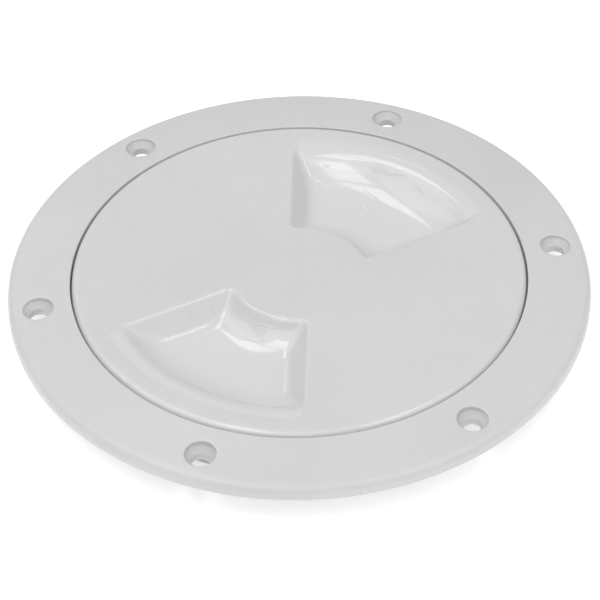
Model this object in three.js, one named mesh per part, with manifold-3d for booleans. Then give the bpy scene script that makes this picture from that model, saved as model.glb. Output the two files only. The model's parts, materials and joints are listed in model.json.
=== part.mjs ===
// Round screw-out deck hatch: a mounting ring for the deck, a cover that screws into it and has two
// finger pockets, and the O-ring that seals the cover. Millimetres, +Z up. The origin is on the axis,
// in the plane of the neck's lower rim. A screw hole of the ring lies on +X.

import * as THREE from 'three';
import { mergeVertices } from 'three/addons/utils/BufferGeometryUtils.js';
import Module from 'manifold-3d';

const wasm = await Module();
wasm.setup();

const radians = THREE.MathUtils.degToRad;

const SEGMENTS = 60; // round surfaces, one full turn
const HOLE_SIDES = 16;
const BOSS_SIDES = 20;
const THREAD_STEPS = 30; // one turn of a thread ridge
const HALVINGS = 30; // steps of the search for a pocket's depth
const TOUCHING = 0.3; // clearance left where two pieces bear on each other

// Mounting ring
const FLANGE_RADIUS = 100;
const DECK_PLANE = 13; // underside of the flange
const RING_TOP = 20; // upper edge of the recess, the ring's highest point
const FLANGE_SLOPE = Math.tan(radians(5.4)); // the flange's top falls outward
const RIM_FILLET = 2.6;
const NECK_RADIUS = 77;
const NECK_FILLET = 1.4; // between the neck and the flange's underside
const BORE_RADIUS = 74.3;
const RECESS_RADIUS = 78.5;
const LEDGE = 16.7; // height of the ledge below the cover's rim
const SEAT_RADIUS = 76; // the O-ring's seat is a step inside the ledge
const SEAT = 13.9;

// Screw holes
const HOLE_COUNT = 6;
const HOLE_CIRCLE_RADIUS = 89.86;
const HOLE_RADIUS = 3.1;
const HEAD_RADIUS = 5.2;
const CONE_START = 15.6; // height where the straight hole ends and the 90 degree cone begins
const BOSS_RADIUS = 9.4;

// Cored underside of the flange
const CORE_INNER = 80.5;
const CORE_OUTER = 97.3;
const FLANGE_SKIN = 2.8;
const FLANGE_RIBS_PER_HOLE = 2;
const FLANGE_RIB = 2;

// Cover
const COVER_RADIUS = 77.9;
const COVER_TOP = 20.8;
const COVER_FILLET = 2.2;
const COVER_PLATE = 3;
const SKIRT_RADIUS = 72.4;
const SKIRT_WALL = 2.5;
const SKIRT_BOTTOM = 2.4;
const COVER_CLOCKING = radians(48.24); // direction of one pocket when the cover is tight
const COVER_RIB = 2;
const COVER_RIB_DEPTH = 3;
const COVER_RIB_SPREAD = radians(24); // angle between neighbouring ribs
const COVER_HUB_RADIUS = 12; // where the ribs cross

// Finger pockets. Along its middle line a pocket falls from the cover's top in a rounded edge and a
// hollow curve, runs level, and rises in a longer hollow curve and a softly rounded crest, from where
// a gentle lead runs out towards the cover's rim.
const POCKET_DEPTH = 8.9;
const POCKET_INNER = 22.4; // radius where the pocket starts
const POCKET_OUTER = 68; // radius where the crest starts
const POCKET_LEAD_START = 72.3; // radius where the lead leaves the cover's top
const POCKET_LEAD_RUN = 6;
const POCKET_LEAD_DEPTH = 0.4;
const POCKET_HALF_ANGLE = radians(30.8); // direction of a side wall from the pocket's middle line
const POCKET_SIDE_OFFSET = 4.85; // how far outside a radial line each side wall runs
const POCKET_WALL_ANGLE = radians(54); // steepness of the side walls
const POCKET_EDGE_ROUND = 1.3; // at the side walls and the inner curve
const POCKET_OUTER_ROUND = 6.5;
const POCKET_INNER_HOLLOW = 15.5;
const POCKET_OUTER_HOLLOW = 25;
const POCKET_FOOT_FILLET = 2; // where the side walls meet the curved floor
const POCKET_SHELL = 2.8;

// Lines along which a pocket's surface is worked out, by their distance inside its edges
const INNER_LINES = [-0.4, 0.5, 1.2, 4, 7.5, 11, 14.8];
const OUTER_LINES = [21.5, 14, 9, 4.6, 2.2, -1.5, -4.7];
const SIDE_LINES = [-0.4, 0.4, 1.1, 3.6, 6.2, 8.2];
const MIDDLE_LINES = 5;

// Two-start screw thread, right-handed
const THREAD_STARTS = 2;
const THREAD_LEAD = 8;
const THREAD_BASE = 1.6; // width of a ridge at its root
const THREAD_CREST = 0.8;
const RING_THREAD_CREST = 73.1;
const COVER_THREAD_CREST = 73.9;
const THREAD_BOTTOM = 3.4; // the cover's ridges start here, and the ring's half a pitch higher
const THREAD_TURNS = 0.95;
const THREAD_FADE = 0.06; // share of a ridge's length that fades out at each end
const THREAD_ROOTING = 0.6; // how far a ridge reaches into the wall that carries it

// O-ring
const O_RING_SECTION = 2.5;
const O_RING_SIDES = 8;

const PLASTIC = { color: 0xd9d9d8, roughness: 0.38, metalness: 0 };
const RUBBER = { color: 0x161616, roughness: 0.7, metalness: 0 };

// ---- solids -------------------------------------------------------------------------------------

function toSolid(geometry) {
  geometry.deleteAttribute('normal');
  geometry.deleteAttribute('uv');
  const merged = mergeVertices(geometry, 1e-4);
  return new wasm.Manifold(new wasm.Mesh({
    numProp: 3,
    vertProperties: new Float32Array(merged.attributes.position.array),
    triVerts: new Uint32Array(merged.index.array),
  }));
}

function toMesh(name, solid, finish) {
  const { vertProperties, triVerts } = solid.getMesh();
  const geometry = new THREE.BufferGeometry();
  geometry.setAttribute('position', new THREE.BufferAttribute(new Float32Array(vertProperties), 3));
  geometry.setIndex(new THREE.BufferAttribute(new Uint32Array(triVerts), 1));
  geometry.computeVertexNormals();
  const mesh = new THREE.Mesh(geometry, new THREE.MeshStandardMaterial(finish));
  mesh.name = name;
  return mesh;
}

// Turns a profile of [radius, height] points, listed anticlockwise, about the Z axis. A profile that
// doesn't start on the axis is closed on itself.
function turned(profile, segments = SEGMENTS) {
  const outline = profile[0][0] === 0 ? profile : [...profile, profile[0]];
  const points = outline.map(([radius, height]) => new THREE.Vector2(radius, height));
  return new THREE.LatheGeometry(points, segments).rotateX(Math.PI / 2);
}

// Points of an arc in the profile plane, angles in degrees.
function arc(radius, height, size, from, to, steps) {
  return Array.from({ length: steps + 1 }, (_, i) => {
    const angle = radians(from + ((to - from) * i) / steps);
    return [radius + size * Math.cos(angle), height + size * Math.sin(angle)];
  });
}

// Moves each vertex of a geometry to where shift(x, y, z) says.
function reshape(geometry, shift) {
  const position = geometry.attributes.position;
  for (let i = 0; i < position.count; i += 1) {
    position.setXYZ(i, ...shift(position.getX(i), position.getY(i), position.getZ(i)));
  }
  return geometry;
}

function block(width, length, low, high, place) {
  const geometry = new THREE.BoxGeometry(width, length, high - low);
  geometry.translate(0, 0, (low + high) / 2);
  return toSolid(place(geometry));
}

// ---- thread -------------------------------------------------------------------------------------

// One ridge of the thread. It stands on the wall at rootRadius and fades out at both ends.
function threadRidge(rootRadius, crestRadius, startHeight, startAngle) {
  const outward = Math.sign(crestRadius - rootRadius);
  const baseRadius = rootRadius - outward * THREAD_ROOTING;
  const section = new THREE.Shape([
    new THREE.Vector2(-THREAD_BASE / 2, baseRadius),
    new THREE.Vector2(THREAD_BASE / 2, baseRadius),
    new THREE.Vector2(THREAD_CREST / 2, crestRadius),
    new THREE.Vector2(-THREAD_CREST / 2, crestRadius),
  ]);
  const steps = Math.round(THREAD_STEPS * THREAD_TURNS);
  const ridge = new THREE.ExtrudeGeometry(section, { depth: 1, steps, bevelEnabled: false });
  return toSolid(reshape(ridge, (along, radius, part) => {
    const angle = startAngle + part * THREAD_TURNS * 2 * Math.PI;
    const fade = Math.min(1, Math.min(part, 1 - part) / THREAD_FADE);
    const faded = baseRadius + (radius - baseRadius) * (0.3 + 0.7 * fade);
    const height = startHeight + along + THREAD_LEAD * THREAD_TURNS * part;
    return [faded * Math.cos(angle), faded * Math.sin(angle), height];
  }));
}

// All starts of one thread.
function thread(rootRadius, crestRadius, startHeight) {
  const ridges = Array.from({ length: THREAD_STARTS }, (_, i) => (
    threadRidge(rootRadius, crestRadius, startHeight, (i * 2 * Math.PI) / THREAD_STARTS)
  ));
  return ridges.reduce((all, ridge) => all.add(ridge));
}

// ---- finger pockets -----------------------------------------------------------------------------

// Depth and slope just inside a rounded edge.
function edgeDepth(inside, round) {
  const run = Math.max(inside, 0);
  const drop = Math.sqrt(round ** 2 - run ** 2);
  return { depth: round - drop, slope: run / drop };
}

// Depth of a side wall at a distance inside its upper edge, and its slope there: a rounded edge, then
// a straight sloping wall.
function wallDepth(inside) {
  const roundRun = POCKET_EDGE_ROUND * Math.sin(POCKET_WALL_ANGLE);
  if (inside < roundRun) return edgeDepth(inside, POCKET_EDGE_ROUND);
  const slope = Math.tan(POCKET_WALL_ANGLE);
  const roundDrop = POCKET_EDGE_ROUND * (1 - Math.cos(POCKET_WALL_ANGLE));
  return { depth: roundDrop + (inside - roundRun) * slope, slope };
}

// Depth and slope along the pocket at a distance inside its inner or outer edge: a rounded edge, a
// hollow curve and the level floor, which lies a fall below the edge. All are moved outward by grow.
function sweepDepth(inside, fall, round, hollow, grow) {
  const steepest = Math.acos(1 - fall / (round + hollow));
  const left = (round + hollow) * Math.sin(steepest) - inside;
  const curve = hollow + grow;
  const curveRun = curve * Math.sin(steepest);
  if (left <= 0) return { depth: fall + grow, slope: 0 };
  if (left < curveRun) {
    const drop = Math.sqrt(curve ** 2 - left ** 2);
    return { depth: fall - hollow + drop, slope: left / drop };
  }
  if (grow === 0) return edgeDepth(inside, round);
  const slope = Math.tan(steepest);
  const curveStart = fall - hollow + curve * Math.cos(steepest);
  return { depth: curveStart - (left - curveRun) * slope, slope };
}

// Depth and slope from the pocket's outer end inward: the lead and the outer sweep together.
function outerDepth(radius, grow) {
  const fall = POCKET_DEPTH - POCKET_LEAD_DEPTH;
  const inside = POCKET_OUTER - radius;
  const sweep = sweepDepth(inside, fall, POCKET_OUTER_ROUND, POCKET_OUTER_HOLLOW, grow);
  const share = THREE.MathUtils.clamp((POCKET_LEAD_START - radius) / POCKET_LEAD_RUN, 0, 1);
  const steepness = (6 * share * (1 - share)) / POCKET_LEAD_RUN;
  return {
    depth: sweep.depth + POCKET_LEAD_DEPTH * share * share * (3 - 2 * share),
    slope: sweep.slope + POCKET_LEAD_DEPTH * steepness,
  };
}

// Depth of the pocket at a radius and an angle from its middle line, with all its faces moved outward
// by grow. The side walls and the floor meet in a round fillet: the depth is where the distances to
// all of them, taken together, leave its radius.
function pocketDepth(radius, angle, grow) {
  const inside = radius * Math.sin(POCKET_HALF_ANGLE - Math.abs(angle)) + POCKET_SIDE_OFFSET;
  const faces = [
    wallDepth(inside + grow / Math.sin(POCKET_WALL_ANGLE)),
    sweepDepth(radius - POCKET_INNER, POCKET_DEPTH, POCKET_EDGE_ROUND, POCKET_INNER_HOLLOW, grow),
    outerDepth(radius, grow),
  ];
  let high = Math.min(...faces.map((face) => face.depth));
  let low = high - POCKET_FOOT_FILLET;
  for (let i = 0; i < HALVINGS; i += 1) {
    const middle = (low + high) / 2;
    const shortfalls = faces.map(({ depth, slope }) => (
      Math.max(0, POCKET_FOOT_FILLET - (depth - middle) / Math.hypot(1, slope))
    ));
    if (Math.hypot(...shortfalls) > POCKET_FOOT_FILLET) high = middle;
    else low = middle;
  }
  return low;
}

// Angles, from the pocket's middle line, where the lines along the pocket cross a radius.
function anglesAcross(radius, spread) {
  const sides = SIDE_LINES.map((inside) => (
    POCKET_HALF_ANGLE + Math.asin((POCKET_SIDE_OFFSET + spread - inside) / radius)
  ));
  const last = sides[sides.length - 1];
  const middle = Array.from({ length: MIDDLE_LINES }, (_, i) => (
    last * ((2 * (i + 1)) / (MIDDLE_LINES + 1) - 1)
  ));
  return [...sides.map((angle) => -angle), ...middle, ...sides.reverse()];
}

// The solid between a level lid and the surface of a pocket whose faces are moved outward by grow.
// Outside the pocket's edge the solid's underside clears the cover's top.
function pocketSolid(grow, lid) {
  const spread = grow / Math.sin(POCKET_WALL_ANGLE);
  const radii = [
    ...INNER_LINES.map((inside) => POCKET_INNER - spread + inside),
    ...OUTER_LINES.map((inside) => POCKET_OUTER + grow - inside),
  ];
  const across = radii.map((radius) => anglesAcross(radius, spread));
  const rows = radii.length - 1;
  const columns = across[0].length - 1;
  return toSolid(reshape(new THREE.BoxGeometry(1, 1, 1, rows, columns, 1), (x, y, z) => {
    const row = Math.round((x + 0.5) * rows);
    const angle = across[row][Math.round((y + 0.5) * columns)];
    const radius = radii[row];
    const depth = pocketDepth(radius, angle, grow);
    const surface = Math.min(depth > 0 ? COVER_TOP - depth : COVER_TOP + 0.05, lid - 0.2);
    const direction = COVER_CLOCKING + angle;
    return [radius * Math.cos(direction), radius * Math.sin(direction), z > 0 ? lid : surface];
  }));
}

// Both pockets of the cover, half a turn apart.
function bothPockets(pocket) {
  return pocket.add(pocket.rotate([0, 0, 180]));
}

// ---- pieces -------------------------------------------------------------------------------------

function screwHole(angle) {
  const top = RING_TOP + 1;
  const headStart = CONE_START + HEAD_RADIUS - HOLE_RADIUS;
  const profile = [[0, DECK_PLANE - 1], [HOLE_RADIUS, DECK_PLANE - 1], [HOLE_RADIUS, CONE_START]];
  profile.push([HEAD_RADIUS, headStart], [HEAD_RADIUS, top], [0, top]);
  const hole = turned(profile, HOLE_SIDES);
  return toSolid(hole.translate(HOLE_CIRCLE_RADIUS, 0, 0).rotateZ(angle));
}

function flangeHeight(radius) {
  return RING_TOP - (radius - RECESS_RADIUS) * FLANGE_SLOPE;
}

function ringProfile() {
  const slopeAngle = THREE.MathUtils.radToDeg(Math.atan(FLANGE_SLOPE));
  const filletRadius = FLANGE_RADIUS - RIM_FILLET;
  const filletHeight = flangeHeight(filletRadius) - RIM_FILLET / Math.cos(Math.atan(FLANGE_SLOPE));
  return [
    [NECK_RADIUS, 0],
    ...arc(NECK_RADIUS + NECK_FILLET, DECK_PLANE - NECK_FILLET, NECK_FILLET, 180, 90, 2),
    [FLANGE_RADIUS, DECK_PLANE],
    ...arc(filletRadius, filletHeight, RIM_FILLET, 0, 90 - slopeAngle, 4),
    [RECESS_RADIUS, RING_TOP],
    [RECESS_RADIUS, LEDGE],
    [SEAT_RADIUS, LEDGE],
    [SEAT_RADIUS, SEAT],
    [BORE_RADIUS, SEAT],
    [BORE_RADIUS, 0],
  ];
}

// The hollows of the flange's underside, left solid at the screw bosses and the ribs.
function flangeCore(holeAngles) {
  const hollow = toSolid(turned([
    [CORE_INNER, DECK_PLANE - 1],
    [CORE_OUTER, DECK_PLANE - 1],
    [CORE_OUTER, flangeHeight(CORE_OUTER) - FLANGE_SKIN],
    [CORE_INNER, flangeHeight(CORE_INNER) - FLANGE_SKIN],
  ]));
  const spacing = (2 * Math.PI) / HOLE_COUNT;
  const kept = holeAngles.flatMap((holeAngle) => {
    const boss = new THREE.CylinderGeometry(BOSS_RADIUS, BOSS_RADIUS, RING_TOP, BOSS_SIDES);
    boss.rotateX(Math.PI / 2).translate(HOLE_CIRCLE_RADIUS, 0, RING_TOP / 2).rotateZ(holeAngle);
    const ribs = Array.from({ length: FLANGE_RIBS_PER_HOLE }, (_, i) => {
      const angle = holeAngle + (spacing * (i + 1)) / (FLANGE_RIBS_PER_HOLE + 1);
      const place = (rib) => rib.translate(FLANGE_RADIUS / 2, 0, 0).rotateZ(angle);
      return block(FLANGE_RADIUS, FLANGE_RIB, 0, RING_TOP, place);
    });
    return [toSolid(boss), ...ribs];
  });
  return kept.reduce((core, piece) => core.subtract(piece), hollow);
}

function mountingRing() {
  const holeAngles = Array.from({ length: HOLE_COUNT }, (_, i) => (i * 2 * Math.PI) / HOLE_COUNT);
  const body = toSolid(turned(ringProfile())).subtract(flangeCore(holeAngles));
  const drilled = holeAngles.reduce((solid, angle) => solid.subtract(screwHole(angle)), body);
  const halfPitch = THREAD_LEAD / THREAD_STARTS / 2;
  return drilled.add(thread(BORE_RADIUS, RING_THREAD_CREST, THREAD_BOTTOM + halfPitch));
}

function coverProfile() {
  const underside = COVER_TOP - COVER_PLATE;
  const filletRadius = COVER_RADIUS - COVER_FILLET;
  return [
    [0, underside],
    [SKIRT_RADIUS - SKIRT_WALL, underside],
    [SKIRT_RADIUS - SKIRT_WALL, SKIRT_BOTTOM],
    [SKIRT_RADIUS, SKIRT_BOTTOM],
    [SKIRT_RADIUS, LEDGE + TOUCHING],
    [COVER_RADIUS, LEDGE + TOUCHING],
    ...arc(filletRadius, COVER_TOP - COVER_FILLET, COVER_FILLET, 0, 90, 4),
    [0, COVER_TOP],
  ];
}

// Low ribs across the underside, from side to side between the pockets. They cross in a round hub.
function coverRibs() {
  const top = COVER_TOP - COVER_PLATE + 0.5;
  const bottom = COVER_TOP - COVER_PLATE - COVER_RIB_DEPTH;
  const length = 2 * SKIRT_RADIUS - SKIRT_WALL;
  const ribs = [-1, 0, 1].map((step) => (
    block(COVER_RIB, length, bottom, top, (rib) => rib.rotateZ(COVER_CLOCKING + step * COVER_RIB_SPREAD))
  ));
  const hub = turned([[0, bottom], [COVER_HUB_RADIUS, bottom], [COVER_HUB_RADIUS, top], [0, top]]);
  return ribs.reduce((all, rib) => all.add(rib), toSolid(hub));
}

function cover() {
  const shells = bothPockets(pocketSolid(POCKET_SHELL, COVER_TOP - 1));
  const hollows = bothPockets(pocketSolid(0, COVER_TOP + 1));
  const ridges = thread(SKIRT_RADIUS, COVER_THREAD_CREST, THREAD_BOTTOM);
  const body = toSolid(turned(coverProfile()));
  return body.add(coverRibs()).add(shells).subtract(hollows).add(ridges);
}

function coverORing() {
  const radius = SKIRT_RADIUS + TOUCHING + O_RING_SECTION / 2;
  const height = SEAT + TOUCHING + O_RING_SECTION / 2;
  const torus = new THREE.TorusGeometry(radius, O_RING_SECTION / 2, O_RING_SIDES, SEGMENTS);
  return toSolid(torus.translate(0, 0, height));
}

const group = new THREE.Group();
group.add(toMesh('mounting_ring', mountingRing(), PLASTIC));
group.add(toMesh('cover', cover(), PLASTIC));
group.add(toMesh('cover_o_ring', coverORing(), RUBBER));

export default group;
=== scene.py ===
"""The looks of a round screw-out deck hatch: mounting ring, cover with two finger pockets, O-ring.

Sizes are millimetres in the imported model's frame until Surface.build makes them metres. Places of
lights and camera are metres. Angles are radians unless a name or a comment says degrees.
"""
import json
import math

import bmesh
import bpy
import numpy as np
from mathutils import Matrix, Vector


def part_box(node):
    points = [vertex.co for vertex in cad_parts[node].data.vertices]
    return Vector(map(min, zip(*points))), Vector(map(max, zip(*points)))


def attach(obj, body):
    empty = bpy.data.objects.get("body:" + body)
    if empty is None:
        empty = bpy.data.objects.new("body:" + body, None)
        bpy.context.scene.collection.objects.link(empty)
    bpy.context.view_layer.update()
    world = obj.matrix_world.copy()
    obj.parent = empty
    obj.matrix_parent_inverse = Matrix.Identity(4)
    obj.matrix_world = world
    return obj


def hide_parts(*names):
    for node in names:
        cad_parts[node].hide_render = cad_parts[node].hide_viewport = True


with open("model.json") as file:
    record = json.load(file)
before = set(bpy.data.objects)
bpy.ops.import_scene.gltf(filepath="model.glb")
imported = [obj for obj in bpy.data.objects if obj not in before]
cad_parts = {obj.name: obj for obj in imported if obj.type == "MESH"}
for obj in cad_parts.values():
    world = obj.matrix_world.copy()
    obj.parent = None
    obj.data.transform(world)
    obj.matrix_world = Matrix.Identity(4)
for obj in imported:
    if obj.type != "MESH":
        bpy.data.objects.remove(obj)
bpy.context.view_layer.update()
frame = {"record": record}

MM = 0.001
TURN = 2 * math.pi

# ---- sizes ---------------------------------------------------------------------------------------

ring_box, cover_box, seal_box = (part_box(node) for node in ("mounting_ring", "cover", "cover_o_ring"))


def measured(length):
    """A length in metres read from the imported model, as millimetres to two decimals."""
    return round(length / MM, 2)


FLANGE_RADIUS = measured(ring_box[1].x)
DECK_PLANE = 13.0  # height of the flange's underside
RING_TOP = measured(ring_box[1].z)  # upper edge of the recess that takes the cover
FLANGE_SLOPE = math.tan(math.radians(5.4))
RIM_FILLET = 2.6
NECK_RADIUS = 77.0
NECK_FILLET = 1.4  # between the neck and the flange's underside
BORE_RADIUS = 74.3
RECESS_RADIUS = 78.5
LEDGE = 16.7  # height of the ledge below the cover's rim
SEAT_RADIUS = 76.0
SEAT = 13.9  # height of the O-ring's seat

HOLE_COUNT = 6
HOLE_CIRCLE_RADIUS = 89.86
HOLE_RADIUS = 3.1
HEAD_RADIUS = 5.2
CONE_START = 15.6  # height where the straight hole ends and the 90 degree cone begins
BOSS_RADIUS = 9.4

CORE_INNER = 80.5  # the hollows below the flange run from here
CORE_OUTER = 97.3
FLANGE_SKIN = 2.8
FLANGE_RIB = 2.0
BOSS_RIB = 2.6  # joins each boss to the walls beside it

COVER_RADIUS = measured(cover_box[1].x)
COVER_TOP = measured(cover_box[1].z)
COVER_FILLET = 2.2
COVER_PLATE = 3.0
COVER_RIM_UNDERSIDE = 17.0
SKIRT_RADIUS = 72.4
SKIRT_INNER = 69.9
SKIRT_BOTTOM = measured(cover_box[0].z)
COVER_CLOCKING = math.radians(48.24)  # direction of one pocket when the cover is tight
COVER_RIB_ANGLES = (-24, 0, 24)  # degrees from the line between the pockets
COVER_RIB_DEPTH = 3.0
COVER_RIB_FOOT = 2.4  # width of a rib where it meets the plate
COVER_RIB_TAPER = 0.4  # how much narrower each side is at the rib's crest
HUB_RADIUS = 12.0
HUB_SLOPE = 1.2  # run of the hub's side, half of it inside the hub's radius

POCKET_DEPTH = 8.9
POCKET_INNER = 22.4  # radius where the pocket starts
POCKET_OUTER = 68.0  # radius where the crest starts
POCKET_LEAD_START = 72.3  # radius where the lead leaves the cover's top
POCKET_LEAD_RUN = 6.0
POCKET_LEAD_DEPTH = 0.4
POCKET_HALF_ANGLE = math.radians(30.8)
POCKET_SIDE_OFFSET = 4.85  # how far outside a radial line each side wall runs
POCKET_WALL_ANGLE = math.radians(54)  # steepness of the side walls
POCKET_EDGE_ROUND = 1.9  # at the side walls and the inner curve
POCKET_OUTER_ROUND = 6.5
POCKET_INNER_HOLLOW = 15.5
POCKET_OUTER_HOLLOW = 25.0
POCKET_FOOT_FILLET = 2.0  # where the side walls meet the curved floor
POCKET_SHELL = 2.8

THREAD_LEAD = measured(frame["record"]["behaviour"]["couplings"][0]["ratio"] * TURN)
THREAD_STARTS = 2
THREAD_TURNS = 0.95
THREAD_BASE = 0.8  # half the width of a ridge at its root
THREAD_CREST = 0.4  # half its width at its crest
THREAD_FADE = 0.06  # share of a ridge's length that fades out at each end
THREAD_BOTTOM = 3.4
THREAD_TOP = 13.8
RING_THREAD_CREST = 73.1
COVER_THREAD_CREST = 73.9

O_RING_SECTION = measured(seal_box[1].z - seal_box[0].z) / 2  # radius of the section
O_RING_RADIUS = measured(seal_box[1].x) - O_RING_SECTION
O_RING_HEIGHT = measured(seal_box[0].z) + O_RING_SECTION
O_RING_FLASH = 0.03  # height of the mould's parting line
O_RING_FLASH_WIDTH = 0.09  # radians round the section

EDGE_ROUND = 0.4  # outer edges
CORNER_ROUND = 0.4  # inner corners
RECESS_EDGE = 0.15
BORE_EDGE = 0.1
SKIRT_FILLET = 1.5
HOLE_EDGE = 0.35  # rounding round a countersink's mouth
HOLE_BOTTOM_EDGE = 0.25
HOLE_BEVEL = 0.12  # at both ends of the cone
HOLE_BEVEL_STEP = 0.03
CORE_EDGE = 0.3
CORE_FILLET = 1.0

# ---- mesh helpers --------------------------------------------------------------------------------

JOINING_DISTANCE = 2e-6  # metres
NO_LENGTH = 1e-7  # metres


def arc(radius, height, size, start, end, steps):
    """Points of an arc in the (radius, height) plane, angles in degrees."""
    angles = np.radians(np.linspace(start, end, steps + 1))
    return [(radius + size * math.cos(a), height + size * math.sin(a)) for a in angles]


class Surface:
    """Collects grids and faces in millimetres, and joins them where their edges meet."""

    def __init__(self):
        self.points = []
        self.faces = []
        self.count = 0

    def add(self, points, faces):
        points = np.asarray(points, float).reshape(-1, 3)
        self.points.append(points)
        self.faces.extend([[index + self.count for index in face] for face in faces])
        self.count += len(points)

    def grid(self, points, wrap=False, skip=None):
        """Joins neighbours in an array of rows and columns of points with four-sided faces."""
        rows, columns = points.shape[:2]
        faces = []
        for row in range(rows - 1):
            for column in range(columns if wrap else columns - 1):
                if skip and skip(row, column):
                    continue
                after = (column + 1) % columns
                faces.append([row * columns + column, row * columns + after,
                              (row + 1) * columns + after, (row + 1) * columns + column])
        self.add(points, faces)

    def build(self, name, material):
        mesh = bpy.data.meshes.new(name)
        mesh.from_pydata((np.concatenate(self.points) * MM).tolist(), [], self.faces)
        work = bmesh.new()
        work.from_mesh(mesh)
        bmesh.ops.remove_doubles(work, verts=work.verts, dist=JOINING_DISTANCE)
        bmesh.ops.dissolve_degenerate(work, edges=work.edges, dist=NO_LENGTH)
        loose = [vertex for vertex in work.verts if not vertex.link_faces]
        bmesh.ops.delete(work, geom=loose, context="VERTS")
        bmesh.ops.recalc_face_normals(work, faces=work.faces)
        for face in work.faces:
            face.smooth = True
        work.to_mesh(mesh)
        work.free()
        mesh.materials.append(material)
        piece = bpy.data.objects.new(name, mesh)
        bpy.context.scene.collection.objects.link(piece)
        return piece


def smooth(share):
    """A share from 0 to 1 that starts and ends level."""
    return share * share * (3 - 2 * share)


def polar(radius, angle, height):
    """Points from numbers or arrays that broadcast together."""
    return np.stack(np.broadcast_arrays(radius * np.cos(angle), radius * np.sin(angle), height), -1)


# ---- thread --------------------------------------------------------------------------------------


def ridge_share(angle, height, start_height):
    """How far a thread ridge stands out at an angle and a height, from 0 to 1."""
    share = np.zeros(np.broadcast(angle, height).shape)
    for start in range(THREAD_STARTS):
        along = np.mod(angle - start * TURN / THREAD_STARTS, TURN) / (THREAD_TURNS * TURN)
        middle = start_height + THREAD_LEAD * THREAD_TURNS * along
        side = (THREAD_BASE - np.abs(height - middle)) / (THREAD_BASE - THREAD_CREST)
        side = smooth(np.clip(side, 0, 1))
        ends = np.clip(np.minimum(along, 1 - along) / THREAD_FADE, 0, 1)
        share = np.maximum(share, side * ends)
    return share


# ---- finger pockets ------------------------------------------------------------------------------

ALMOST_ALL = 0.999  # of a rounding's quarter turn, because its slope has no end
HALVINGS = 30  # steps of the search for a pocket's depth


def edge_depth(inside, size):
    """Depth and slope just inside a rounded edge."""
    run = np.clip(inside, 0, size * ALMOST_ALL)
    drop = np.sqrt(size ** 2 - run ** 2)
    return size - drop, run / drop


def wall_depth(inside):
    """Depth and slope of a side wall at a distance inside its upper edge."""
    round_run = POCKET_EDGE_ROUND * math.sin(POCKET_WALL_ANGLE)
    round_drop = POCKET_EDGE_ROUND * (1 - math.cos(POCKET_WALL_ANGLE))
    slope = math.tan(POCKET_WALL_ANGLE)
    depth, edge_slope = edge_depth(inside, POCKET_EDGE_ROUND)
    straight = inside > round_run
    return (np.where(straight, round_drop + (inside - round_run) * slope, depth),
            np.where(straight, slope, edge_slope))


def sweep_depth(inside, fall, size, hollow, grow):
    """Depth and slope along the pocket: a rounded edge, a hollow curve, then the level floor."""
    steepest = math.acos(1 - fall / (size + hollow))
    left = (size + hollow) * math.sin(steepest) - inside
    curve = hollow + grow
    run = np.clip(left, 0, curve * math.sin(steepest))
    drop = np.sqrt(curve ** 2 - run ** 2)
    depth, slope = fall - hollow + drop, run / drop
    past = left > curve * math.sin(steepest)
    if grow:
        steep = math.tan(steepest)
        straight = depth - (left - curve * math.sin(steepest)) * steep
        return np.where(past, straight, depth), np.where(past, steep, slope)
    edge, edge_slope = edge_depth(inside, size)
    return np.where(past, edge, depth), np.where(past, edge_slope, slope)


def outer_depth(radius, grow):
    """Depth and slope from the rim inward: a gentle lead, then a soft crest and a hollow curve."""
    fall = POCKET_DEPTH - POCKET_LEAD_DEPTH
    depth, slope = sweep_depth(POCKET_OUTER - radius, fall, POCKET_OUTER_ROUND, POCKET_OUTER_HOLLOW, grow)
    share = np.clip((POCKET_LEAD_START - radius) / POCKET_LEAD_RUN, 0, 1)
    lead_slope = 6 * POCKET_LEAD_DEPTH / POCKET_LEAD_RUN * share * (1 - share)
    return depth + POCKET_LEAD_DEPTH * smooth(share), slope + lead_slope


def pocket_depth(radius, angle, grow=0.0):
    """Depth of a pocket at a radius and an angle from its middle line, its faces moved out by grow.

    The side walls and the floor meet in a round fillet: the depth is where the distances to all of
    them, taken together, leave the fillet's radius.
    """
    inside = radius * np.sin(POCKET_HALF_ANGLE - np.abs(angle)) + POCKET_SIDE_OFFSET
    faces = [wall_depth(inside + grow / math.sin(POCKET_WALL_ANGLE)),
             sweep_depth(radius - POCKET_INNER, POCKET_DEPTH, POCKET_EDGE_ROUND, POCKET_INNER_HOLLOW, grow),
             outer_depth(radius, grow)]
    high = np.minimum.reduce([depth for depth, _ in faces])
    low = high - POCKET_FOOT_FILLET
    for _ in range(HALVINGS):
        middle = (low + high) / 2
        shortfall = sum(
            np.maximum(0, POCKET_FOOT_FILLET - (depth - middle) / np.hypot(1, slope)) ** 2
            for depth, slope in faces)
        above = shortfall > POCKET_FOOT_FILLET ** 2
        high = np.where(above, middle, high)
        low = np.where(above, low, middle)
    return np.maximum(low, 0)


def nearest_pocket(angle):
    """Angle from the middle line of the nearer pocket."""
    half = TURN / 2
    return np.mod(angle - COVER_CLOCKING + half / 2, half) - half / 2


def top_height(radius, angle):
    return COVER_TOP - pocket_depth(radius, nearest_pocket(angle))


def rib_share(radius, angle):
    """How far the ribs and the hub below the cover stand out, from 0 to 1."""
    share = np.clip((HUB_RADIUS + HUB_SLOPE / 2 - radius) / HUB_SLOPE, 0, 1)
    for rib in COVER_RIB_ANGLES:
        away = nearest_pocket(angle - TURN / 4 - math.radians(rib))
        side = np.abs(np.sin(away)) * np.maximum(radius, RIB_FREEZE)
        share = np.maximum(share, np.clip((COVER_RIB_FOOT / 2 - side) / COVER_RIB_TAPER, 0, 1))
    return smooth(share)


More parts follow.
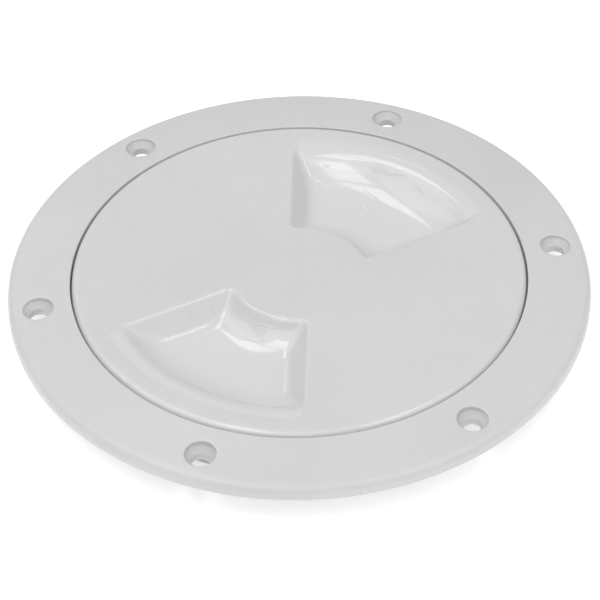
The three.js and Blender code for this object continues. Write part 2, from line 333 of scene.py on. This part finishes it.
def underside_height(radius, angle):
    plate = COVER_TOP - COVER_PLATE
    shell = COVER_TOP - pocket_depth(radius, nearest_pocket(angle), POCKET_SHELL)
    rib = plate - COVER_RIB_DEPTH * rib_share(radius, angle)
    run = np.clip(radius - SKIRT_INNER + SKIRT_FILLET, 0, SKIRT_FILLET)
    fillet = plate - SKIRT_FILLET + np.sqrt(SKIRT_FILLET ** 2 - run ** 2)
    return np.minimum(np.minimum(fillet, shell), rib)


# ---- columns of the cover ------------------------------------------------------------------------

# distances inside a pocket's edge and beside a rib's middle line, closest where the surface bends
EDGE_STATIONS = (-4, -3, -2.2, -1.6, -1.1, -0.7, -0.3, 0, 0.15, 0.35, 0.55, 0.75, 0.95, 1.15)
SIDE_STATIONS = EDGE_STATIONS + tuple(np.arange(1.5, 8.7, 0.36)) + (9.0, 9.8)
RIB_STATIONS = (0.4, 0.75, 0.85, 0.95, 1.05, 1.15, 1.3, 1.6)
SIDE_FREEZE = 19.5  # nearer the axis than this radius, the side walls' columns run straight to it
RIB_FREEZE = 12.5  # and the ribs' columns nearer than this one
MIDDLE_COLUMNS = 36
COLUMNS_BESIDE_POCKET = 17
COLUMNS_BETWEEN_RIBS = 13


def cover_columns(radius):
    """Angles of the columns at a radius. They run along the pockets' walls and along the ribs."""
    reach = max(radius, SIDE_FREEZE)
    sides = [POCKET_HALF_ANGLE + math.asin((POCKET_SIDE_OFFSET - s) / reach) for s in SIDE_STATIONS]
    middle = np.linspace(-sides[-1], sides[-1], MIDDLE_COLUMNS + 1)[1:-1]
    columns = [-angle for angle in sides] + list(middle) + sides[::-1]
    reach = max(radius, RIB_FREEZE)
    offsets = [math.asin(s / reach) for s in RIB_STATIONS]
    across = [-offset for offset in reversed(offsets)] + [0.0] + offsets
    fill = COLUMNS_BESIDE_POCKET
    for rib in COVER_RIB_ANGLES:
        rib_columns = [TURN / 4 + math.radians(rib) + offset for offset in across]
        columns.extend(np.linspace(columns[-1], rib_columns[0], fill + 2)[1:-1])
        columns.extend(rib_columns)
        fill = COLUMNS_BETWEEN_RIBS
    columns.extend(np.linspace(columns[-1], columns[0] + TURN / 2, COLUMNS_BESIDE_POCKET + 2)[1:-1])
    half = np.array(columns)
    return COVER_CLOCKING + np.concatenate([half, half + TURN / 2])


def stretch(*parts):
    """Joins stretches (start, end, steps) of even steps into one rising or falling list."""
    values = []
    for start, end, steps in parts:
        values.extend(np.linspace(start, end, steps + 1)[1 if values else 0:])
    return values


def cover_rows(profile):
    """Rows of the cover's columns round the axis. A height may be a function of radius and angle."""
    rows = []
    for radius, height in profile:
        angle = cover_columns(min(radius, POCKET_LEAD_START))
        reach = np.full_like(angle, radius)
        rows.append(polar(reach, angle, height(reach, angle) if callable(height) else height))
    return np.array(rows)


FLOOR_START = 37.2  # radii between which the pockets' floor is level
FLOOR_END = 46.4
CREST_START = 62.3
SHELL_FLOOR_END = 45.8


def top_radii():
    """Radii of the rows on the cover's top, closest round the pockets' inner edge and crest."""
    edge = [POCKET_INNER + station for station in EDGE_STATIONS]
    radii = stretch((0, 6, 2), (6, edge[0], 6)) + edge
    radii += stretch((edge[-1], FLOOR_START, 18), (FLOOR_START, FLOOR_END, 5),
                     (FLOOR_END, CREST_START, 19), (CREST_START, POCKET_OUTER, 12),
                     (POCKET_OUTER, POCKET_LEAD_START, 8),
                     (POCKET_LEAD_START, COVER_RADIUS - COVER_FILLET, 4))
    return sorted(set(radii))


def underside_radii():
    """Radii of the rows below the cover, closest round the hub, the shells and the skirt."""
    shell = POCKET_INNER - 4
    fillet = SKIRT_INNER - SKIRT_FILLET
    hub_in, hub_out = HUB_RADIUS - HUB_SLOPE, HUB_RADIUS + HUB_SLOPE
    radii = stretch((0, 8, 2), (8, hub_in, 1), (hub_in, hub_out, 8), (hub_out, shell, 3),
                    (shell, shell + 6, 16), (shell + 6, FLOOR_START, 16),
                    (FLOOR_START, SHELL_FLOOR_END, 5), (SHELL_FLOOR_END, fillet, 26))
    turns = np.radians((15, 30, 45, 60, 75, 90))
    return radii + [fillet + SKIRT_FILLET * math.sin(turn) for turn in turns]


def skirt_inside(share):
    """Height at a share of the way up the skirt's inner wall, from its lower edge to the underside."""
    foot = SKIRT_BOTTOM + EDGE_ROUND
    return lambda radius, angle: foot + share * (underside_height(radius, angle) - foot)


def make_cover(material):
    surface = Surface()
    outside = [(radius, top_height) for radius in top_radii()]
    outside += arc(COVER_RADIUS - COVER_FILLET, COVER_TOP - COVER_FILLET, COVER_FILLET, 90, 0, 9)[1:]
    outside += arc(COVER_RADIUS - EDGE_ROUND, COVER_RIM_UNDERSIDE + EDGE_ROUND, EDGE_ROUND, 0, -90, 3)
    corner = COVER_RIM_UNDERSIDE - CORNER_ROUND
    outside += arc(SKIRT_RADIUS + CORNER_ROUND, corner, CORNER_ROUND, 90, 180, 4)
    surface.grid(cover_rows(outside), wrap=True)

    heights = stretch((corner, THREAD_TOP, 3), (THREAD_TOP, SKIRT_BOTTOM + EDGE_ROUND, 66))
    angle = cover_columns(SKIRT_RADIUS)[None, :]
    level = np.array(heights)[:, None]
    stands = (COVER_THREAD_CREST - SKIRT_RADIUS) * ridge_share(angle, level, THREAD_BOTTOM)
    stands[-1] = 0
    surface.grid(polar(SKIRT_RADIUS + stands, angle, level), wrap=True)

    inside = arc(SKIRT_RADIUS - EDGE_ROUND, SKIRT_BOTTOM + EDGE_ROUND, EDGE_ROUND, 0, -90, 3)
    inside += arc(SKIRT_INNER + EDGE_ROUND, SKIRT_BOTTOM + EDGE_ROUND, EDGE_ROUND, -90, -180, 3)
    inside += [(SKIRT_INNER, skirt_inside(share)) for share in stretch((0, 1, 10))[1:]]
    surface.grid(cover_rows(inside), wrap=True)
    surface.grid(cover_rows([(radius, underside_height) for radius in underside_radii()]), wrap=True)
    return surface.build("cover_shell", material)


# ---- mounting ring -------------------------------------------------------------------------------

COLUMNS = 360
SECTOR = COLUMNS // HOLE_COUNT
PATCH_INNER = 81.0
PATCH_OUTER = 97.0
PATCH_ROWS = 12
PATCH_COLUMNS = 7  # on each side of a hole


def flange_height(radius):
    return RING_TOP - (radius - RECESS_RADIUS) * FLANGE_SLOPE


def revolve(profile):
    """A grid of rows round the axis, one for each (radius, height)."""
    angle = np.arange(COLUMNS) * TURN / COLUMNS
    return np.array([polar(radius, angle, height) for radius, height in profile])


def rectangle_rim(rows, columns):
    """Row and column of each point round the rim of a grid, from one corner."""
    rim = [(rows, c) for c in range(columns)] + [(rows - r, columns) for r in range(rows)]
    return rim + [(0, columns - c) for c in range(columns)] + [(r, 0) for r in range(rows)]


def hole_profile():
    """Radius and height down a screw hole: the cone with a small bevel at each end, then the bore."""
    head = CONE_START + HEAD_RADIUS - HOLE_RADIUS
    run = HOLE_BEVEL + HOLE_BEVEL_STEP
    return ((HEAD_RADIUS, head + run),
            (HEAD_RADIUS - HOLE_BEVEL_STEP, head + 0.05),
            (HEAD_RADIUS - HOLE_BEVEL, head - HOLE_BEVEL),
            (HOLE_RADIUS + HOLE_BEVEL, CONE_START + HOLE_BEVEL),
            (HOLE_RADIUS + HOLE_BEVEL_STEP, CONE_START),
            (HOLE_RADIUS, CONE_START - run),
            (HOLE_RADIUS, DECK_PLANE + HOLE_BOTTOM_EDGE),
            (HOLE_RADIUS + 0.08, DECK_PLANE + 0.07),
            (HOLE_RADIUS + HOLE_BOTTOM_EDGE, DECK_PLANE))


def hole_patch(surface, hole_angle):
    """The flange's top round one screw hole, the countersunk hole, and the land below its boss."""
    step = TURN / COLUMNS
    radii = np.linspace(PATCH_INNER, PATCH_OUTER, PATCH_ROWS + 1)
    rim = rectangle_rim(PATCH_ROWS, 2 * PATCH_COLUMNS)
    outer = np.array([[radii[row] * math.cos((column - PATCH_COLUMNS) * step),
                       radii[row] * math.sin((column - PATCH_COLUMNS) * step)] for row, column in rim])
    local = outer - (HOLE_CIRCLE_RADIUS, 0)
    corner = np.unwrap(np.arctan2(local[:, 1], local[:, 0]))
    width = 2 * PATCH_COLUMNS
    corners = [0, width, width + PATCH_ROWS, 2 * width + PATCH_ROWS]
    angles = np.interp(np.arange(len(rim)), corners + [len(rim)], [*corner[corners], corner[0] + TURN])
    across = np.stack([np.cos(angles), np.sin(angles)], -1)

    def ring(radius, height):
        flat = across * radius + (HOLE_CIRCLE_RADIUS, 0)
        if callable(height):
            height = height(np.hypot(flat[:, 0], flat[:, 1]))
        return np.column_stack([flat, np.broadcast_to(height, len(flat))])

    edge = HEAD_RADIUS + HOLE_EDGE
    circle = ring(edge, flange_height)
    rows = []
    for share in (0, 0.12, 0.28, 0.5, 0.75, 1):
        flat = circle[:, :2] * share + outer * (1 - share)
        rows.append(np.column_stack([flat, flange_height(np.hypot(flat[:, 0], flat[:, 1]))]))
    for turn in (25, 50, 75, 90):
        run, drop = HOLE_EDGE * math.sin(math.radians(turn)), HOLE_EDGE * (1 - math.cos(math.radians(turn)))
        rows.append(ring(edge - run, lambda r, drop=drop: flange_height(r) - drop))
    rows.extend(ring(radius, height) for radius, height in hole_profile())
    bottom = rows[-1][:, :2]
    land = boss_land()
    for share in (0.25, 0.5, 0.75, 1):
        flat = bottom * (1 - share) + land * share
        rows.append(np.column_stack([flat, np.full(len(flat), DECK_PLANE)]))
    surface.grid(turned(np.array(rows), hole_angle), wrap=True)


def turned(points, angle):
    """Points turned round the axis."""
    turned_points = points.copy()
    turned_points[..., 0] = points[..., 0] * math.cos(angle) - points[..., 1] * math.sin(angle)
    turned_points[..., 1] = points[..., 0] * math.sin(angle) + points[..., 1] * math.cos(angle)
    return turned_points


# the hollows of the flange's underside

CORE_ROWS = 20
CORE_COLUMNS = 16
BOSS_COLUMNS = 6
RIB_COLUMNS = 3


def boss_side(radius):
    """Half the angle that a screw boss takes at a radius."""
    cosine = (radius ** 2 + HOLE_CIRCLE_RADIUS ** 2 - BOSS_RADIUS ** 2) / (2 * radius * HOLE_CIRCLE_RADIUS)
    return max(math.acos(min(cosine, 1)), math.asin(BOSS_RIB / 2 / radius))


def rib_side(radius):
    return math.asin(FLANGE_RIB / 2 / radius)


SPACING = TURN / HOLE_COUNT
# the hollows between two holes: place of each side wall as a share of the spacing, and what stands there
CELLS = ((0, boss_side, 1 / 3, rib_side), (1 / 3, rib_side, 2 / 3, rib_side),
         (2 / 3, rib_side, 1, boss_side))


def cell_point(cell, across, along, inset):
    """Radius and angle of a point in a hollow, from its first side and its inner side, 0 to 1."""
    start, start_side, end, end_side = cell
    radius = CORE_INNER + inset + along * (CORE_OUTER - CORE_INNER - 2 * inset)
    low = start * SPACING + start_side(radius) + inset / radius
    high = end * SPACING - end_side(radius) - inset / radius
    return radius, low + across * (high - low)


def to_xyz(radius, angle, height):
    return [radius * math.cos(angle), radius * math.sin(angle), height]


def boss_land():
    """The rim of the flat land round a hole, point by point as the hole's own rings."""
    after, before = CELLS[0], CELLS[-1]
    right = [cell_point(after, 0, row / CORE_ROWS, -CORE_EDGE) for row in range(CORE_ROWS + 1)]
    left = [(radius, angle - SPACING) for radius, angle in
            [cell_point(before, 1, row / CORE_ROWS, -CORE_EDGE) for row in range(CORE_ROWS + 1)]]
    outer = [(right[-1][0], a) for a in np.linspace(left[-1][1], right[-1][1], BOSS_COLUMNS + 1)]
    inner = [(right[0][0], a) for a in np.linspace(right[0][1], left[0][1], BOSS_COLUMNS + 1)]
    rim = outer[:-1] + right[:0:-1] + inner[:-1] + left[:-1]
    flat = np.array([[r * math.cos(a), r * math.sin(a)] for r, a in rim])
    return np.roll(flat, BOSS_COLUMNS // 2, axis=0)


def flange_hollow(surface, cell, sector_angle):
    """The walls and the ceiling of one hollow below the flange."""
    rim = rectangle_rim(CORE_ROWS, CORE_COLUMNS)
    bevel = CORE_EDGE * 0.3
    loops = [(-CORE_EDGE, DECK_PLANE, 0), (-bevel, DECK_PLANE + bevel, 0), (0, DECK_PLANE + CORE_EDGE, 0)]
    for turn in (0, 30, 60, 90):
        a = math.radians(turn)
        loops.append((CORE_FILLET * (1 - math.cos(a)), None, CORE_FILLET * (1 - math.sin(a))))
    rows = []
    for inset, height, drop in loops:
        row = []
        for along, across in rim:
            radius, angle = cell_point(cell, across / CORE_COLUMNS, along / CORE_ROWS, inset)
            ceiling = flange_height(radius) - FLANGE_SKIN - drop
            row.append(to_xyz(radius, angle, ceiling if height is None else height))
        rows.append(row)
    surface.grid(turned(np.array(rows), sector_angle), wrap=True)
    ceiling = []
    for along in range(CORE_ROWS + 1):
        row = []
        for across in range(CORE_COLUMNS + 1):
            radius, angle = cell_point(cell, across / CORE_COLUMNS, along / CORE_ROWS, CORE_FILLET)
            row.append(to_xyz(radius, angle, flange_height(radius) - FLANGE_SKIN))
        ceiling.append(row)
    surface.grid(turned(np.array(ceiling), sector_angle))


def land_columns(along):
    """Angles round one sector at the hollows' inner (0) or outer (1) edge, from a boss's middle."""
    angles = []
    half = BOSS_COLUMNS // 2
    for cell in CELLS:
        low = cell_point(cell, 0, along, -CORE_EDGE)[1]
        high = cell_point(cell, 1, along, -CORE_EDGE)[1]
        if not angles:
            angles.extend(np.linspace(0, low, half + 1))
        else:
            angles.extend(np.linspace(angles[-1], low, RIB_COLUMNS + 1)[1:])
        angles.extend(np.linspace(low, high, CORE_COLUMNS + 1)[1:])
    angles.extend(np.linspace(angles[-1], SPACING, half + 1)[1:-1])
    return np.concatenate([np.array(angles) + sector * SPACING for sector in range(HOLE_COUNT)])


def land_band(surface, along, outside):
    """The flat land between the hollows' edge and a row of even columns round the ring."""
    radius = cell_point(CELLS[0], 0, along, -CORE_EDGE)[0]
    even = np.arange(COLUMNS) * TURN / COLUMNS
    rows = [polar(radius, land_columns(along), DECK_PLANE), polar(outside, even, DECK_PLANE)]
    surface.grid(np.array(rows), wrap=True)


def rib_lands(surface, sector_angle):
    """The flat lower faces of the ribs in one sector."""
    for before, after in zip(CELLS, CELLS[1:]):
        rows = []
        for row in range(CORE_ROWS + 1):
            radius, low = cell_point(before, 1, row / CORE_ROWS, -CORE_EDGE)
            _, high = cell_point(after, 0, row / CORE_ROWS, -CORE_EDGE)
            rows.append([to_xyz(radius, a, DECK_PLANE) for a in np.linspace(low, high, RIB_COLUMNS + 1)])
        surface.grid(turned(np.array(rows), sector_angle))


def make_ring(material):
    surface = Surface()
    slope = math.atan(FLANGE_SLOPE)
    edge = RECESS_RADIUS + RECESS_EDGE
    patch = list(np.linspace(PATCH_INNER, PATCH_OUTER, PATCH_ROWS + 1))
    fillet_radius = FLANGE_RADIUS - RIM_FILLET
    fillet_height = flange_height(fillet_radius) - RIM_FILLET / math.cos(slope)
    fillet = arc(fillet_radius, fillet_height, RIM_FILLET, 90 - math.degrees(slope), 0, 9)
    top = [(r, flange_height(r)) for r in [edge, edge + 0.8] + patch] + fillet
    first = 2  # the row where the patches round the holes begin

    def in_patch(row, column):
        beside = (column + PATCH_COLUMNS) % SECTOR
        return first <= row < first + PATCH_ROWS and beside < 2 * PATCH_COLUMNS

    surface.grid(revolve(top), wrap=True, skip=in_patch)

    side = [fillet[-1]] + arc(FLANGE_RADIUS - EDGE_ROUND, DECK_PLANE + EDGE_ROUND, EDGE_ROUND, 0, -90, 3)
    surface.grid(revolve(side), wrap=True)
    land_band(surface, 1, FLANGE_RADIUS - EDGE_ROUND)
    land_band(surface, 0, NECK_RADIUS + NECK_FILLET)

    recess = arc(edge, flange_height(edge) - RECESS_EDGE, RECESS_EDGE, 90, 180, 4)
    recess += arc(RECESS_RADIUS - CORNER_ROUND, LEDGE + CORNER_ROUND, CORNER_ROUND, 0, -90, 4)
    recess += arc(SEAT_RADIUS + EDGE_ROUND, LEDGE - EDGE_ROUND, EDGE_ROUND, 90, 180, 3)
    recess += arc(SEAT_RADIUS - CORNER_ROUND, SEAT + CORNER_ROUND, CORNER_ROUND, 0, -90, 4)
    recess += arc(BORE_RADIUS + BORE_EDGE, SEAT - BORE_EDGE, BORE_EDGE, 90, 180, 2)
    surface.grid(revolve(recess), wrap=True)

    heights = stretch((SEAT - BORE_EDGE, THREAD_BOTTOM + 1, 58), (THREAD_BOTTOM + 1, EDGE_ROUND, 5))
    angle = np.arange(COLUMNS)[None, :] * TURN / COLUMNS
    level = np.array(heights)[:, None]
    stands = (BORE_RADIUS - RING_THREAD_CREST) * ridge_share(angle, level, THREAD_BOTTOM + THREAD_LEAD / 4)
    surface.grid(polar(BORE_RADIUS - stands, angle, level), wrap=True)

    neck = arc(BORE_RADIUS + EDGE_ROUND, EDGE_ROUND, EDGE_ROUND, 180, 270, 3)
    neck += arc(NECK_RADIUS - EDGE_ROUND, EDGE_ROUND, EDGE_ROUND, -90, 0, 3)
    neck += [(NECK_RADIUS, z) for z in (3, 6, 9)]
    neck += arc(NECK_RADIUS + NECK_FILLET, DECK_PLANE - NECK_FILLET, NECK_FILLET, 180, 90, 6)
    surface.grid(revolve(neck), wrap=True)

    for sector in range(HOLE_COUNT):
        hole_patch(surface, sector * SPACING)
        rib_lands(surface, sector * SPACING)
        for cell in CELLS:
            flange_hollow(surface, cell, sector * SPACING)
    return surface.build("ring_shell", material)


# ---- O-ring --------------------------------------------------------------------------------------

O_RING_COLUMNS = 300
O_RING_SIDES = 32


def make_o_ring(material):
    surface = Surface()
    around = np.arange(O_RING_COLUMNS)[None, :] * TURN / O_RING_COLUMNS
    section = np.arange(O_RING_SIDES)[:, None] * TURN / O_RING_SIDES
    past_line = np.mod(section, TURN / 2)
    from_line = np.minimum(past_line, TURN / 2 - past_line)
    flash = O_RING_FLASH * np.exp(-(from_line / O_RING_FLASH_WIDTH) ** 2)
    size = O_RING_SECTION - O_RING_FLASH + flash
    points = polar(O_RING_RADIUS + size * np.cos(section), around, O_RING_HEIGHT + size * np.sin(section))
    surface.grid(np.concatenate([points, points[:1]]), wrap=True)
    return surface.build("o_ring", material)


# ---- materials -----------------------------------------------------------------------------------

GLOSS_START = 0.03  # millimetres below the cover's top
GLOSS_ONSET = 0.00012  # metres of height over which the grain gives way to the pockets' gloss
POCKET_GRAIN = 0.12  # share of the grain that is left in the pockets
POCKET_ROUGHNESS = 0.28  # share of the roughness that is left there
# base grey in the pockets, lighter than the top's: painted light that brightens the pocket floors
POCKET_PAINTED_LIGHT_GREY = 0.64
MARKS_HEIGHT = 5.0  # height of the moulding marks, where the full grain's is 1
RELIEF = 0.00006  # metres of bump for a height of 1


class Nodes:
    """A short way to add shader nodes and join them."""

    def __init__(self, tree):
        self.tree = tree

    def add(self, kind, values=None, **settings):
        node = self.tree.nodes.new(kind)
        for name, value in settings.items():
            setattr(node, name, value)
        for name, value in (values or {}).items():
            if isinstance(value, bpy.types.NodeSocket):
                self.tree.links.new(value, node.inputs[name])
            else:
                node.inputs[name].default_value = value
        return node

    def math(self, operation, *values):
        return self.add("ShaderNodeMath", dict(enumerate(values)), operation=operation).outputs[0]

    def noise(self, place, scale, detail=2.0, roughness=0.5):
        values = {"Vector": place, "Scale": scale, "Detail": detail, "Roughness": roughness}
        return self.add("ShaderNodeTexNoise", values).outputs["Fac"]

    def remap(self, value, low, high, to_low, to_high):
        values = {"Value": value, "From Min": low, "From Max": high, "To Min": to_low, "To Max": to_high}
        return self.add("ShaderNodeMapRange", values).outputs["Result"]

    def mix_color(self, share, first, second):
        node = self.add("ShaderNodeMix", data_type="RGBA")
        for socket, value in ((0, share), (6, first), (7, second)):
            if isinstance(value, bpy.types.NodeSocket):
                self.tree.links.new(value, node.inputs[socket])
            else:
                node.inputs[socket].default_value = value
        return node.outputs[2]


def gray(value):
    return (value, value, value, 1.0)


def new_material(name):
    """A material, a way to add its nodes, its shader, and each point's place in metres."""
    material = bpy.data.materials.new(name)
    material.use_nodes = True
    nodes = Nodes(material.node_tree)
    shader = material.node_tree.nodes["Principled BSDF"]
    place = nodes.add("ShaderNodeTexCoord").outputs["Object"]
    return material, nodes, shader, place


def moulding_marks(nodes, place):
    """Fine broken lines round the axis, from 0 to 1, as the moulding tool leaves them."""
    values = {"Vector": place, "Scale": 42.0, "Distortion": 5.0, "Detail": 1.0, "Detail Scale": 1.6}
    rings = nodes.add("ShaderNodeTexWave", values, wave_type="RINGS", rings_direction="Z").outputs["Fac"]
    patches = nodes.remap(nodes.noise(place, 75.0), 0.56, 0.66, 0.0, 1.0)
    return nodes.math("MULTIPLY", nodes.remap(rings, 0.96, 1.0, 0.0, 1.0), patches)


def plastic(name, low, high, gloss_below=None):
    """Moulded white plastic with a fine grain, in base shades between low and high.

    Below the height gloss_below, in metres, it is smooth and of high gloss, with a few moulding marks, and
    its base colour is a flat lighter grey: painted light that brightens the pockets.
    """
    material, nodes, shader, place = new_material(name)
    cloud = nodes.noise(place, 18.0, 3.0)
    mottle = nodes.noise(place, 420.0)
    grain = nodes.noise(place, 900.0, 3.0, 0.55)
    fine = nodes.noise(place, 2600.0)
    speck = nodes.add("ShaderNodeTexVoronoi", {"Vector": place, "Scale": 210.0}, feature="F1")
    dust = nodes.remap(speck.outputs["Distance"], 0.035, 0.06, 1.0, 0.0)
    base = nodes.mix_color(nodes.remap(cloud, 0.35, 0.65, 0.0, 1.0), gray(low), gray(high))
    base = nodes.mix_color(nodes.remap(mottle, 0.3, 0.7, 0.0, 0.14), base, gray(low * 0.85))
    base = nodes.mix_color(nodes.math("MULTIPLY", dust, 0.22), base, gray(low * 0.6))
    relief = nodes.math("ADD", nodes.math("MULTIPLY", grain, 0.75), nodes.math("MULTIPLY", fine, 0.25))
    roughness = nodes.remap(nodes.noise(place, 60.0, 3.0), 0.3, 0.7, 0.33, 0.40)
    if gloss_below is not None:
        height = nodes.add("ShaderNodeSeparateXYZ", {"Vector": place}).outputs["Z"]
        grained = nodes.remap(height, gloss_below - GLOSS_ONSET, gloss_below, POCKET_GRAIN, 1.0)
        marks_height = nodes.remap(grained, POCKET_GRAIN, 0.5, MARKS_HEIGHT, 0.0)
        relief = nodes.math("MULTIPLY", nodes.math("SUBTRACT", relief, 0.5), grained)
        marks = nodes.math("MULTIPLY", moulding_marks(nodes, place), marks_height)
        relief = nodes.math("ADD", relief, marks)
        # painted light: the pockets take a flat base grey lighter than the top's
        pocket_painted_light_mask = nodes.remap(height, gloss_below - GLOSS_ONSET, gloss_below, 1.0, 0.0)
        base = nodes.mix_color(pocket_painted_light_mask, base, gray(POCKET_PAINTED_LIGHT_GREY))
        matt = nodes.remap(height, gloss_below - GLOSS_ONSET, gloss_below, POCKET_ROUGHNESS, 1.0)
        roughness = nodes.math("MULTIPLY", roughness, matt)
    bump = nodes.add("ShaderNodeBump", {"Height": relief, "Strength": 0.35, "Distance": RELIEF})
    nodes.tree.links.new(base, shader.inputs["Base Color"])
    nodes.tree.links.new(roughness, shader.inputs["Roughness"])
    nodes.tree.links.new(bump.outputs["Normal"], shader.inputs["Normal"])
    return material


def rubber():
    """Black nitrile rubber, matt, with a faint bloom."""
    material, nodes, shader, place = new_material("seal_rubber")
    mottle = nodes.noise(place, 350.0, 4.0)
    bloom = nodes.noise(place, 45.0, 3.0)
    base = nodes.mix_color(nodes.remap(bloom, 0.4, 0.7, 0.0, 1.0), gray(0.010), gray(0.022))
    nodes.tree.links.new(base, shader.inputs["Base Color"])
    nodes.tree.links.new(nodes.remap(mottle, 0.3, 0.7, 0.5, 0.68), shader.inputs["Roughness"])
    values = {"Height": nodes.noise(place, 1500.0), "Strength": 0.4, "Distance": 0.00005}
    bump = nodes.add("ShaderNodeBump", values)
    nodes.tree.links.new(bump.outputs["Normal"], shader.inputs["Normal"])
    return material


ring = make_ring(plastic("ring_plastic", 0.585, 0.615))
cover = make_cover(plastic("cover_plastic", 0.595, 0.625, (COVER_TOP - GLOSS_START) * MM))
o_ring = make_o_ring(rubber())
for piece, body, node, finish in ((ring, "ring", "mounting_ring", "ring_plastic"),
                                  (cover, "cover", "cover", "cover_plastic"),
                                  (o_ring, "seal", "cover_o_ring", "seal_rubber")):
    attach(piece, body)
    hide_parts(node)


# ---- floor, light and camera ---------------------------------------------------------------------

FLOOR_REACH = 3.0
FLOOR_GLOW = 0.42
CEILING = 1.1
PANEL_RADIANCE = 4.0
CAMERA_AZIMUTH = math.radians(-98.26)
CAMERA_ELEVATION = math.radians(42.55)
CAMERA_DISTANCE = 1.08076
CAMERA_ROLL = math.radians(1.3585)
CAMERA_LENS = 189.2
FRAMED = Vector((0, 0, 0.020))  # the point that the camera is placed round
AIM_ACROSS = 0.00041  # how far beside and below that point the camera aims
AIM_DOWN = 0.00886


def make_floor():
    reach = FLOOR_REACH
    mesh = bpy.data.meshes.new("floor")
    corners = [(-reach, -reach, 0), (reach, -reach, 0), (reach, reach, 0), (-reach, reach, 0)]
    mesh.from_pydata(corners, [], [(0, 1, 2, 3)])
    floor = bpy.data.objects.new("floor", mesh)
    bpy.context.scene.collection.objects.link(floor)
    material, nodes, shader, place = new_material("floor_paper")
    shade = nodes.mix_color(nodes.noise(place, 3.0), gray(0.86), gray(0.88))
    nodes.tree.links.new(shade, shader.inputs["Base Color"])
    shader.inputs["Roughness"].default_value = 0.9
    shader.inputs["Emission Color"].default_value = gray(1.0)
    shader.inputs["Emission Strength"].default_value = FLOOR_GLOW
    mesh.materials.append(material)


def area_light(name, place, size, energy):
    """A rectangular light, facing down until it is turned."""
    data = bpy.data.lights.new(name, "AREA")
    data.shape = "RECTANGLE"
    data.size, data.size_y = size
    data.energy = energy
    lamp = bpy.data.objects.new(name, data)
    bpy.context.scene.collection.objects.link(lamp)
    lamp.location = place
    return lamp


def direction(azimuth, elevation):
    """The way out from the hatch at two angles."""
    level = math.cos(elevation)
    return Vector((level * math.cos(azimuth), level * math.sin(azimuth), math.sin(elevation)))


def camera_turn(toward):
    """The turn of a camera whose back faces along toward."""
    upright = toward.to_track_quat("Z", "Y").to_matrix().to_4x4()
    return upright @ Matrix.Rotation(-CAMERA_ROLL, 4, "Z")


def make_camera():
    """The camera. It aims a little off the hatch's middle."""
    data = bpy.data.cameras.new("camera")
    data.lens = CAMERA_LENS
    data.sensor_width = 36.0
    data.clip_start = 0.05
    camera = bpy.data.objects.new("camera", data)
    bpy.context.scene.collection.objects.link(camera)
    toward = direction(CAMERA_AZIMUTH, CAMERA_ELEVATION)
    across, up = (column.to_3d() for column in camera_turn(toward).col[:2])
    place = FRAMED + toward * CAMERA_DISTANCE
    aim = FRAMED + across * AIM_ACROSS - up * AIM_DOWN
    camera.matrix_world = Matrix.Translation(place) @ camera_turn(place - aim)
    bpy.context.scene.camera = camera


def fill_light(name, azimuth, elevation, distance, size, energy):
    """A soft light that faces the hatch, its azimuth in degrees from the camera's."""
    place = direction(CAMERA_AZIMUTH + math.radians(azimuth), math.radians(elevation)) * distance
    lamp = area_light(name, place, size, energy)
    lamp.rotation_euler = (FRAMED - place).to_track_quat("-Z", "Y").to_euler()


def ceiling_panel(name, across, away, size):
    """A level softbox above the hatch, placed across the camera's view and away from the camera."""
    right = direction(CAMERA_AZIMUTH + TURN / 4, 0)
    ahead = direction(CAMERA_AZIMUTH + TURN / 2, 0)
    place = right * across + ahead * away + Vector((0, 0, CEILING))
    panel = area_light(name, place, size, PANEL_RADIANCE * math.pi * size[0] * size[1])
    panel.rotation_euler = (0, 0, CAMERA_AZIMUTH + TURN / 4)


world = bpy.data.worlds.new("studio")
world.use_nodes = True
backdrop = world.node_tree.nodes["Background"]
backdrop.inputs["Color"].default_value = gray(1.0)
backdrop.inputs["Strength"].default_value = 0.37
bpy.context.scene.world = world
bpy.context.scene.view_settings.view_transform = "Standard"

make_floor()
ceiling_panel("left_panel_near", -0.30, -0.25, (0.26, 0.60))
ceiling_panel("left_panel_far", -0.30, 0.42, (0.26, 0.60))
ceiling_panel("right_panel", 0.46, -0.10, (0.30, 0.60))
fill_light("front_left_fill", -22, 52, 1.6, (1.2, 1.0), 6.0)
fill_light("front_right_fill", 62, 40, 1.6, (1.2, 1.0), 4.4)
fill_light("left_fill", -95, 48, 1.6, (0.9, 0.9), 3.4)
fill_light("back_left_light", -156, 34, 1.5, (0.35, 0.35), 0.5)
make_camera()
